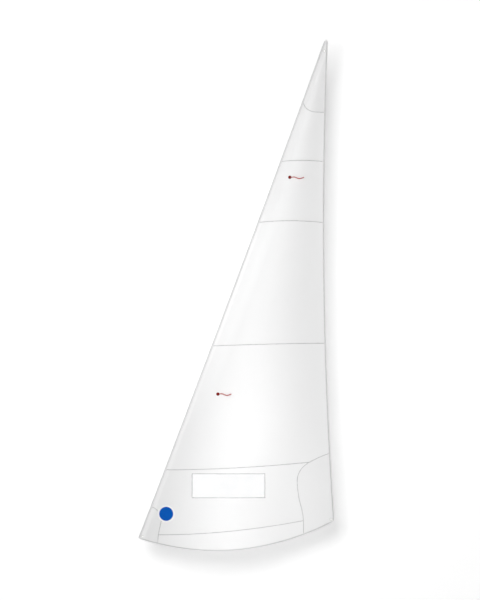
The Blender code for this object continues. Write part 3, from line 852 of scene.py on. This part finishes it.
def addTape(name, curve, ends, width, nose, shoulder, spacing):
    # the section goes along the edge, with a cap at each end
    outer, inner = tapeSection(width, nose, shoulder)
    section = np.concatenate((outer, inner[::-1]))
    length = lengthsOf(at(curve, np.linspace(*ends, tapes["samples"])))[-1]
    places = spread(curve, *ends, max(int(length / spacing), 4))
    sides = np.stack([at(inset(curve, inboard), places) for inboard in section[:, 0]], axis=1)
    count, around = len(places), len(section)
    points = placed(sides, section[None, :, 1]).reshape(-1, 3)
    faces = gridFaces(count, around, wrapColumns=True).tolist()
    k, half = np.arange(len(outer) - 1), len(outer)
    cap = pack(k, k + 1, 2 * half - 2 - k, 2 * half - 1 - k)
    faces += cap.tolist() + (cap[:, ::-1] + (count - 1) * around).tolist()
    along = lengthsOf(at(curve, places))
    developed = lengthsOf(outer) - lengthsOf(outer)[-1] / 2
    developed = np.concatenate((developed, developed[::-1]))
    uv = pack(*np.meshgrid(along, developed, indexing="ij")).reshape(-1, 2)
    piece = addMesh(name + "_folded", points, faces, uv, tapeCloth, "tape_cloth")
    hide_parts(name)
    flat = (float(lengthsOf(outer)[-1]), float(along[-1]))


def endsFrom(curve, start, end, distance):
    # places a distance inside the two ends of an edge
    first, last = (int(np.argmin(np.linalg.norm(curve - corner, axis=1))) for corner in (start, end))
    return further(curve, first, distance), further(curve, last, -distance)


def clearOf(curve, width, other, otherWidth):
    # where the two sides of a tape on one edge reach the tape on another
    line = inset(other, otherWidth + tapes["gap"])
    return [crossing(inset(curve, side), line)[0] for side in (0, width)]


luffEnds = endsFrom(luff, headLuff, tack, tapes["end"])
leechEnds = (
    endsFrom(leech, clew, headLeech, tapes["end"])[0],
    min(clearOf(leech, tapes["edge"], luff, tapes["luff"])),
)
footEnds = (
    max(clearOf(foot, tapes["edge"], luff, tapes["luff"])),
    min(clearOf(foot, tapes["edge"], leech, tapes["edge"])),
)
tapeRuns = {
    "luff_tape": (luff, luffEnds, tapes["luff"], tapes["nose"], tapes["shoulder"], cloth["cell"]),
    "leech_tape": (leech, leechEnds, tapes["edge"], tapes["half"], None, tapes["leechCell"]),
    "foot_tape": (foot, footEnds, tapes["edge"], tapes["half"], None, cloth["fineCell"]),
}
for name, run in tapeRuns.items():
    addTape(name, *run)
print("tapes ready")


# Tubes along a path
def addTube(name, path, radius, steps, square, material, slot, body="sail", lobes=None):
    # rings square to the path; a lobed one swells and narrows round a twist, as two plies do
    way = wayOf(path)
    side = unit(np.cross(square, way))
    out, turns = np.cross(way, side), turnsOf(steps)[None]
    along, count = lengthsOf(path)[:, None], len(path)
    size = np.reshape(radius, (-1, 1)) * np.ones((count, steps))
    if lobes:
        twist = np.abs(np.cos(turns - np.pi * along / lobes["pitch"]))
        size = size * (lobes["waist"] + (1 - lobes["waist"]) * twist)
    ring = np.cos(turns)[..., None] * side[:, None] + np.sin(turns)[..., None] * out[:, None]
    points = (path[:, None] + size[..., None] * ring).reshape(-1, 3)
    points = np.concatenate((points, path[:1], path[-1:]))
    faces = gridFaces(count, steps, wrapColumns=True).tolist()
    k = np.arange(steps)
    on, last = (k + 1) % steps, (count - 1) * steps
    faces += pack(0 * k + count * steps, on, k).tolist()
    faces += pack(0 * k + count * steps + 1, last + k, last + on).tolist()
    uv = pack(np.repeat(along[:, 0], steps), np.tile(turns[0], count) * float(np.max(radius)))
    uv = np.concatenate((uv, [(0, 0), (along[-1, 0], 0)]))
    return addMesh(name, points, faces, uv, material, slot, body)


luffLine = {"across": 0.004, "end": 0.040, "points": 160, "steps": 12}
lineEnds = endsFrom(luff, headLuff, tack, luffLine["end"])
linePath = placed(stretch(inset(luff, tapes["nose"]), *lineEnds, luffLine["points"]), 0.0)
line = addTube("luff_line_braid", linePath, luffLine["across"] / 2, luffLine["steps"], (0, 1, 0), lineBraid,
               "luff_line")
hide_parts("luff_line")


# Zigzag stitches: a flat thread that goes from hole to hole across its line and sinks in at each hole
stitch = {
    "width": 0.0052, "patchWidth": 0.004, "step": 0.0024, "thread": 0.00066, "sink": 0.0002,
    "raised": 0.9, "flatness": 0.8, "round": 1.5, "insidePatch": 0.003, "insideTape": 0.0035,
    "tapeShort": 0.008, "samples": 300,
}
heights = {"seam": 0.00045, "patch": 0.00105, "tape": 0.00165}


def zigzag(curve, start, end, height, side, width=stitch["width"]):
    # holes lie at either side of the line by turns, with a raised point halfway between
    total = lengthsOf(at(curve, np.linspace(start, end, stitch["samples"])))[-1]
    count = 2 * max(int(round(total / stitch["step"])), 2)
    middle = stretch(curve, start, end, count + 1)
    k = np.arange(count + 1)
    swing = np.where(k % 2 == 1, 0.0, np.where(k % 4 == 0, 0.5, -0.5))[:, None]
    rise = np.where(k % 2 == 1, stitch["thread"] * stitch["raised"], -stitch["sink"])
    return placed(middle + leftOf(middle) * swing * width, outwards[side] * (height + rise))


def addStitches(name, paths, side, finish):
    # each path becomes a four-sided strand, and all strands become one mesh
    points, faces, uvs, start = [], [], [], 0
    out, r = np.array([0.0, outwards[side], 0.0]), stitch["thread"]
    for path in paths:
        across, rise = unit(np.cross(out, wayOf(path))) * r, out * r * stitch["flatness"]
        ring = np.stack((path + across, path + rise, path - across, path - rise), axis=1)
        count = len(path)
        points.append(ring.reshape(-1, 3))
        faces += (gridFaces(count, 4, wrapColumns=True) + start).tolist()
        faces += [[start + k for k in (3, 2, 1, 0)], [start + (count - 1) * 4 + k for k in range(4)]]
        uvs.append(pack(np.repeat(lengthsOf(path), 4), np.tile(np.arange(4) * r * stitch["round"], count)))
        start += count * 4
    addMesh(name, np.concatenate(points), faces, np.concatenate(uvs), finish, "tape_cloth")


def besideSticker(curve, start, end):
    # the two stretches of a line that the round sticker leaves bare
    places = np.linspace(start, end, samples)
    away = np.linalg.norm(at(curve, places) - np.array(sticker["place"]), axis=1)
    under = places[away < sticker["across"] / 2]
    return ((start, under[0]), (under[-1], end)) if len(under) else ((start, end),)


tapeLuff, tapeLeech = inset(luff, tapes["luff"]), inset(leech, tapes["edge"])
tapeFoot = inset(foot, tapes["edge"])
seamStops = {
    "head": (tapeLuff, tapeLeech), "upper": (tapeLuff, tapeLeech), "middle": (tapeLuff, tapeLeech),
    "lower": (tapeLuff, clewEdge()), "foot": (tackEdge(), clewEdge()),
}
patchStops = (
    (tackEdge(), tapeFoot, tapeLuff), (clewEdge(), tapeLeech, tapeFoot), (headEdge(), tapeLuff, tapeLeech),
)


def seamPaths(side):
    for name, stops in seamStops.items():
        line = seamLine(name)
        yield zigzag(line, *between(line, *stops), heights["seam"], side)


def patchPaths(side):
    for edge, *stops in patchStops:
        line = inset(edge, stitch["insidePatch"])
        ends = between(line, *stops)
        for run in besideSticker(line, *ends) if side == "port" else (ends,):
            yield zigzag(line, *run, heights["patch"], side, stitch["patchWidth"])


def windowPaths(side):
    # the four sides of a rectangle a little larger than the opening
    x, z = window["length"] / 2 + window["stitchOut"], window["height"] / 2 + window["stitchOut"]
    turn = np.array([(-x, -z), (x, -z), (x, z), (-x, z), (-x, -z)]) + (window["aft"], window["up"])
    for k in range(4):
        yield zigzag(turn[k:k + 2], 0, 1, heights["seam"], side)


def tapePaths(side):
    # a line near the inner edge of each tape, which stops short of both of its ends
    for curve, (start, end), width, *_ in tapeRuns.values():
        line, short = inset(curve, width - stitch["insideTape"]), stitch["tapeShort"]
        yield zigzag(line, further(curve, start, short), further(curve, end, -short), heights["tape"], side)


for side in outwards:
    addStitches(f"seam_stitches_{side}", seamPaths(side), side, thread)
    addStitches(f"patch_stitches_{side}", patchPaths(side), side, thread)
    addStitches(f"window_stitches_{side}", windowPaths(side), side, thread)
    addStitches(f"tape_stitches_{side}", tapePaths(side), side, tapeThread)
print("stitches ready")

# Eyelets: a stud from port, rolled over a washer on starboard, as (radius, height)
eyelets = {
    "stud": (
        (0.0054, 0.00215), (0.0106, 0.00215), (0.011, 0.00175), (0.011, 0.00135), (0.0058, 0.00135),
        (0.0058, -0.00245), (0.0076, -0.00245), (0.0076, -0.00285), (0.0072, -0.00325), (0.0058, -0.00325),
        (0.005, -0.00245), (0.005, 0.00175),
    ),
    "washer": (
        (0.0061, 0.00215), (0.0106, 0.00215), (0.011, 0.00175), (0.011, 0.00135), (0.0061, 0.00135),
    ),
    "rounding": 0.0005, "steps": 96, "polishRadius": 0.008,
}


def rounded(profile, cut, steps=5, most=0.45):
    # every corner becomes a short parabola that starts and ends a cut away from it, or most of a side
    corner = np.array(profile)

    def toward(neighbour):
        way = neighbour - corner
        return corner + way * np.minimum(cut / np.linalg.norm(way, axis=1)[:, None], most)

    a, b = toward(np.roll(corner, 1, axis=0))[:, None], toward(np.roll(corner, -1, axis=0))[:, None]
    t = np.linspace(0, 1, steps)[None, :, None]
    return ((1 - t) ** 2 * a + 2 * t * (1 - t) * corner[:, None] + t**2 * b).reshape(-1, 2)


def addTurned(name, corner, profile, side, replaced):
    # a closed profile turned about the hole's axis
    shape, steps = rounded(profile, eyelets["rounding"]), eyelets["steps"]
    turns, (r, h) = turnsOf(steps), shape.T[..., None]
    x, y, z = eyes[corner]
    around = x + r * np.cos(turns), y + outwards[side] * h + 0 * turns, z + r * np.sin(turns)
    faces = gridFaces(len(shape), steps, wrapRows=True, wrapColumns=True).tolist()
    polish = np.tile(turns * eyelets["polishRadius"], len(shape))
    uv = pack(polish, np.repeat(lengthsOf(shape), steps))
    piece = addMesh(name, pack(*around).reshape(-1, 3), faces, uv, metal, "eyelet_metal")
    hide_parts(replaced)


for corner in eyes:
    addTurned(f"{corner}_eyelet_turned", corner, eyelets["stud"], "port", f"{corner}_eyelet")
    addTurned(f"{corner}_washer_turned", corner, eyelets["washer"], "starboard", f"{corner}_eyelet_washer")
print("eyelets ready")


# Round pieces of film or cloth
def disc(centre, across, rings, steps):
    # polar grid: a middle point and rings round it
    turns, radii = turnsOf(steps), np.linspace(0, across / 2, rings + 1)[1:, None]
    around = pack(radii * np.cos(turns), radii * np.sin(turns)).reshape(-1, 2)
    local = np.concatenate(([(0.0, 0.0)], around))
    k = np.arange(steps)
    fan = pack(0 * k, k + 1, (k + 1) % steps + 1)
    quads = gridFaces(rings, steps, wrapColumns=True)[:, ::-1] + 1
    return local, local + np.array(centre), [quads, fan]


local, plan, faces = disc(sticker["place"], sticker["across"], sticker["rings"], sticker["steps"])
layCloth("round_sticker", "_film", plan, faces, -2, stickerFinish, "round_sticker", "tack_patch_port_cloth",
         uv=local)

# Telltales: a dot on each side of the cloth, and a yarn that is trapped under it and trails aft
telltale = {
    "dot": 0.025, "dotRings": 14, "dotSteps": 72, "dotLayers": {"port": 0, "starboard": 2},
    "upper": (1.138, 2.709), "lower": (0.599, 1.084),
    "panels": {"upper": "upper_panel", "lower": "lower_middle_panel"},
    "ridge": 0.0026, "ridgeWidth": 0.0026, "ridgeFrom": -0.006, "ridgeGrows": 0.011,
    "yarn": 0.005, "length": 0.092, "points": 181, "steps": 24, "wave": 0.0057, "crest": 0.13,
    "lift": {"port": 3.0, "starboard": 14.0}, "plyPitch": 0.0095, "waist": 0.80,
    "fluff": 1.24, "fluffy": 0.010, "clear": 0.0004, "fray": 0.10, "frayEnd": 0.5,
    "root": (0.98, 0.15, 7), "frayPoints": 8,
    "trapped": 0.0100, "trappedPoints": 16, "trappedSteps": 16, "swell": 5,
    "trappedRadii": (0.0009, 0.0020), "trappedHeights": (0.0010, 0.0025),
}


def addDot(height, side):
    # a ridge over the trapped yarn, a bell curve across, grows from the middle of the dot to its after edge
    local, plan, faces = disc(telltale[height], telltale["dot"], telltale["dotRings"], telltale["dotSteps"])
    grow = eased(np.clip((local[:, 0] - telltale["ridgeFrom"]) / telltale["ridgeGrows"], 0, 1))
    ridge = telltale["ridge"] * grow * np.exp(-(local[:, 1] / telltale["ridgeWidth"]) ** 2)
    name, layer = f"{height}_telltale_dot_{side}", telltale["dotLayers"][side]
    layCloth(name, "_stuck", plan, faces, layer, dotFinish[side], f"dot_{side}",
             telltale["panels"][height] + "_sailcloth", uv=local, proud=outwards[side] * ridge)


def yarnPath(joint, side):
    # one cosine wave that starts before its crest and lifts off the plane that touches the cloth at the pivot
    pivot, hinge = np.array(joint["pos_m"], float), unit(np.array(joint["axis"], float))
    aft = unit(np.array([1.0, -hinge[0] / hinge[1], 0.0]))
    lift = math.radians(telltale["lift"][side])
    shares = np.linspace(0, 1, telltale["points"])
    along = telltale["length"] * shares
    crest = 2 * np.pi * telltale["crest"]
    wave = telltale["wave"] * (np.cos(2 * np.pi * shares - crest) - math.cos(crest))
    path = pivot + np.outer(along * math.cos(lift), aft) - np.outer(wave, np.cross(hinge, aft))
    proud = (telltale["fluff"] - 1) * telltale["yarn"] / 2 + telltale["clear"]
    return path + np.outer(outwards[side] * (along * math.sin(lift) + proud), hinge), hinge, aft


def addTelltale(height, side):
    name = f"{height}_telltale_yarn_{side}"
    joint = next(j for j in frame["joints"] if j["name"] == f"{height}_telltale_{side}_swing")
    path, hinge, aft = yarnPath(joint, side)
    # a round root, a first stretch that fluffs out and a frayed end
    back = np.linspace(*telltale["root"])
    full = np.concatenate((path[0] - np.outer(back * telltale["yarn"] / 2, wayOf(path)[0]), path))
    fluff = 1 + (telltale["fluff"] - 1) * np.clip(lengthsOf(full) / telltale["fluffy"], 0, 1)
    radius = fluff * telltale["yarn"] / 2
    radius[:len(back)] *= np.sqrt(1 - back**2)
    fray = np.linspace(0, 1, telltale["frayPoints"])
    radius[-len(fray):] *= 1 + telltale["fray"] * np.sin(fray * np.pi) - telltale["frayEnd"] * fray**3
    lobes, slot = {"waist": telltale["waist"], "pitch": telltale["plyPitch"]}, f"yarn_{side}"
    finish = yarnFinish[side]
    piece = addTube(name + "_wool", full, radius, telltale["steps"], hinge, finish, slot, name, lobes)
    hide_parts(name)
    float(lengthsOf(full)[-1])
    # the end under the dot stays with the sail and is covered by the ridge
    out = np.linspace(0, 1, telltale["trappedPoints"])
    inner = path[0] - np.outer((1 - out) * telltale["trapped"], aft)
    (thin, thick), (low, high) = telltale["trappedRadii"], telltale["trappedHeights"]
    swell = out ** telltale["swell"]
    off = cloth["thickness"] / 2 + low + (high - low) * swell
    inner[:, 1] = camber(inner[:, [0, 2]] + np.array(sail["origin"])) + layerMiddle(1) + outwards[side] * off
    radius = thin + (thick - thin) * swell
    addTube(name + "_end", inner, radius, telltale["trappedSteps"], hinge, finish, slot)


for height in ("upper", "lower"):
    for side in outwards:
        addDot(height, side)
        addTelltale(height, side)
print("telltales ready")


# Stage
stage = {
    "wallBehind": 0.35, "wallShade": 0.95, "wallGlow": 0.45, "wallFrom": (-1.6, -1.19), "wallTo": (3.1, 4.6),
    "wallFade": 0.45, "floor": -1.20, "floorReach": 30, "floorShade": 0.60, "floorGlow": 0.86,
    "worldLight": 0.15,
}


def cameraOnly(finish, seen):
    # camera rays that meet the front see the shader, less and less near the borders; all others go through
    isCamera, = finish.outputs("ShaderNodeLightPath", ["Is Camera Ray"])
    backfacing, position = finish.outputs("ShaderNodeNewGeometry", ["Backfacing", "Position"])
    x, _, z = finish.parts(position)
    (fromX, fromZ), (toX, toZ) = stage["wallFrom"], stage["wallTo"]
    across = finish.maths("MINIMUM", x - fromX, toX - x)
    upward = finish.maths("MINIMUM", z - fromZ, toZ - z)
    inner = finish.step(finish.maths("MINIMUM", across, upward), 0.0, stage["wallFade"])
    clear = finish.node("ShaderNodeBsdfTransparent")
    return finish.node("ShaderNodeMixShader", {}, {0: isCamera * (1 - backfacing) * inner, 1: clear, 2: seen})


def lookedAt(finish):
    # 1 on rays from the camera, straight or by way of metal or clear film
    kinds = [f"Is {kind} Ray" for kind in ("Camera", "Glossy", "Transmission")]
    isCamera, isGlossy, isClear = finish.outputs("ShaderNodeLightPath", kinds)
    return finish.maths("MAXIMUM", finish.maths("MAXIMUM", isCamera, isGlossy), isClear)


def shadowCatcher(name, shade, glow):
    # diffuse light and a glow add up to white, and a shadow takes only the diffuse part away
    made = Finish(bpy.data.materials.new(name))
    made.tree.nodes.remove(made.tree.nodes["Principled BSDF"])
    diffuse = made.node("ShaderNodeBsdfDiffuse", {}, {"Color": (*grey(shade), 1.0)})
    light = made.node("ShaderNodeEmission", {}, {"Color": (1, 1, 1, 1), "Strength": glow})
    return made, made.node("ShaderNodeAddShader", {}, {0: diffuse, 1: light})


def addStagePlane(name, corners, finish, shader):
    finish.plug(finish.tree.nodes["Material Output"].inputs[0], shader)
    mesh = bpy.data.meshes.new(name)
    mesh.from_pydata(corners, [], [(0, 1, 2, 3)])
    mesh.materials.append(finish.owner)
    addObject(name, mesh)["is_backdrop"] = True


wall, wallSeen = shadowCatcher("wallPaper", stage["wallShade"], stage["wallGlow"])
behind, (fromX, fromZ), (toX, toZ) = stage["wallBehind"], stage["wallFrom"], stage["wallTo"]
wallCorners = [(fromX, behind, fromZ), (toX, behind, fromZ), (toX, behind, toZ), (fromX, behind, toZ)]
addStagePlane("wall", wallCorners, wall, cameraOnly(wall, wallSeen))

# rays that bounce off cloth see a plain floor
ground, groundSeen = shadowCatcher("floorPaper", stage["floorShade"], stage["floorGlow"])
plainDiffuse = ground.node("ShaderNodeBsdfDiffuse", {}, {"Color": (0.8, 0.8, 0.8, 1.0)})
groundMixed = ground.node("ShaderNodeMixShader", {}, {0: lookedAt(ground), 1: plainDiffuse, 2: groundSeen})
reach, low = stage["floorReach"], stage["floor"]
floorCorners = [(-reach, -reach, low), (reach, -reach, low), (reach, reach, low), (-reach, reach, low)]
addStagePlane("floor", floorCorners, ground, groundMixed)

sky = Finish(bpy.data.worlds.new("studio"))
bpy.context.scene.world = sky.owner
background = sky.tree.nodes["Background"]
background.inputs["Color"].default_value = (1, 1, 1, 1)
sky.plug(background.inputs["Strength"], stage["worldLight"] + (1 - stage["worldLight"]) * lookedAt(sky))

# Lights: a key from the upper left, strips that light the pieces alone, and a lamp behind
lights = {
    "middle": (0.73, 0.0, 1.77), "keyAway": 10.0, "keyLeft": 10.0, "keyUp": 10.0, "keyAcross": 4.4,
    "keyPower": 515.0, "backPlace": (0.9, 6.0, 3.4), "backAcross": 3.0, "backPower": 40.0,
    "strip": {"place": (0.73, -1.15, 1.9), "across": 0.16, "tall": 6.1, "power": 13.8},
    "foot": {"place": (0.90, -0.70, 0.30), "across": 0.10, "tall": 1.6, "power": 0.80},
    "backStrip": {"place": (0.73, 1.15, 1.9), "across": 0.16, "tall": 6.1, "power": 18.0},
}
litPieces = bpy.data.collections.new("litPieces")
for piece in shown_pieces():
    litPieces.objects.link(piece)


def addLamp(name, place, target, width, height, power):
    data = bpy.data.lights.new(name, "AREA")
    data.shape, data.size, data.size_y, data.energy = "RECTANGLE", width, height, power
    lamp = addObject(name, data)
    way = np.array(target, float) - np.array(place, float)
    lamp.location = place
    tilt = math.atan2(way[2], math.hypot(way[0], way[1]))
    lamp.rotation_euler = (math.pi / 2 + tilt, 0, math.atan2(-way[0], way[1]))
    lamp.visible_camera = False
    return lamp


def addStrip(name, glossy):
    # a tall lamp that faces the sail's plane straight on and lights no wall or floor
    strip = lights[name]
    ahead = (strip["place"][0], 0.0, strip["place"][2])
    lamp = addLamp(name, strip["place"], ahead, strip["across"], strip["tall"], strip["power"])
    lamp.light_linking.receiver_collection = litPieces
    lamp.visible_glossy = lamp.visible_transmission = glossy


left, up = math.radians(lights["keyLeft"]), math.radians(lights["keyUp"])
keyWay = np.array([-math.sin(left) * math.cos(up), -math.cos(left) * math.cos(up), math.sin(up)])
keyPlace = (np.array(lights["middle"]) + lights["keyAway"] * keyWay).tolist()
key = addLamp("key", keyPlace, lights["middle"], lights["keyAcross"], lights["keyAcross"], lights["keyPower"])
key.visible_glossy = False
addStrip("strip", False)
addStrip("foot", True)
addLamp("back", lights["backPlace"], lights["middle"], lights["backAcross"], lights["backAcross"],
        lights["backPower"])
addStrip("backStrip", False)

view = {"place": (0.730, -75.0, 1.774), "lens": 600.0, "sensor": 36.0, "far": 400.0}
camera = addObject("camera", bpy.data.cameras.new("camera"))
camera.data.lens, camera.data.sensor_width, camera.data.clip_end = view["lens"], view["sensor"], view["far"]
camera.location = view["place"]
camera.rotation_euler = (math.pi / 2, 0, 0)
bpy.context.scene.camera = camera
bpy.context.scene.view_settings.view_transform = "Standard"
print("stage ready")
